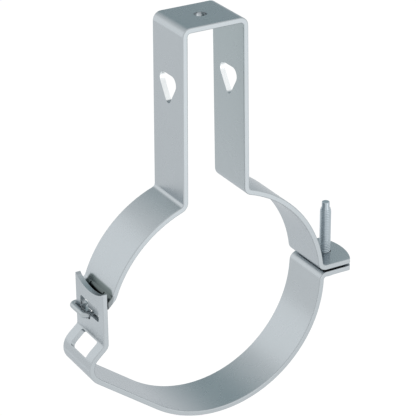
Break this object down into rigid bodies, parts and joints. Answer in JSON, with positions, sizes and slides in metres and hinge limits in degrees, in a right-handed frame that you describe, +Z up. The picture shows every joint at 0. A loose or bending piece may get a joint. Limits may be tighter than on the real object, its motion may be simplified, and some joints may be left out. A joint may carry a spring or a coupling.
{
  "type": "pipe bracket",
  "caption": "Two-part zinc-coated steel pipe bracket that hangs on a square rail by a wedge, with a hooked lower strap closed by one screw",
  "frame": {"origin": "the middle of the top plate's underside, where the rail bears", "axes": "+Z up, +X towards the closing screw, +Y along the pipe"},
  "size_m": [0.159, 0.0336, 0.2161],
  "materials": {
    "upper_strap": "zinc-coated strip steel, matt, with bright sheared edges",
    "lower_strap": "zinc-coated strip steel, matt, with bright sheared edges",
    "closing_screw": "zinc-plated steel",
    "screw_washer": "zinc-plated steel",
    "latch_clip": "zinc-coated spring wire"
  },
  "bodies": {
    "hanger": {"upper_strap": "upper_strap"},
    "closing_screw": {"closing_screw": "closing_screw", "screw_washer": "screw_washer"},
    "lower_half": {"lower_strap": "lower_strap", "latch_clip": "latch_clip"}
  },
  "joints": [
    {"name": "closing_screw_travel", "type": "slide", "parent": "hanger", "child": "closing_screw", "axis": [0, 0, -1], "range_m": [-0.0008, 0.022]},
    {"name": "lower_strap_tilt", "type": "hinge", "parent": "hanger", "child": "lower_half", "pos_m": [-0.0622, 0, -0.1315], "axis": [0, 1, 0], "range_deg": [-0.4, 8.8]}
  ],
  "couplings": [
    {"joint": "lower_strap_tilt", "follows": "closing_screw_travel", "rad_per_m": 6.88}
  ]
}
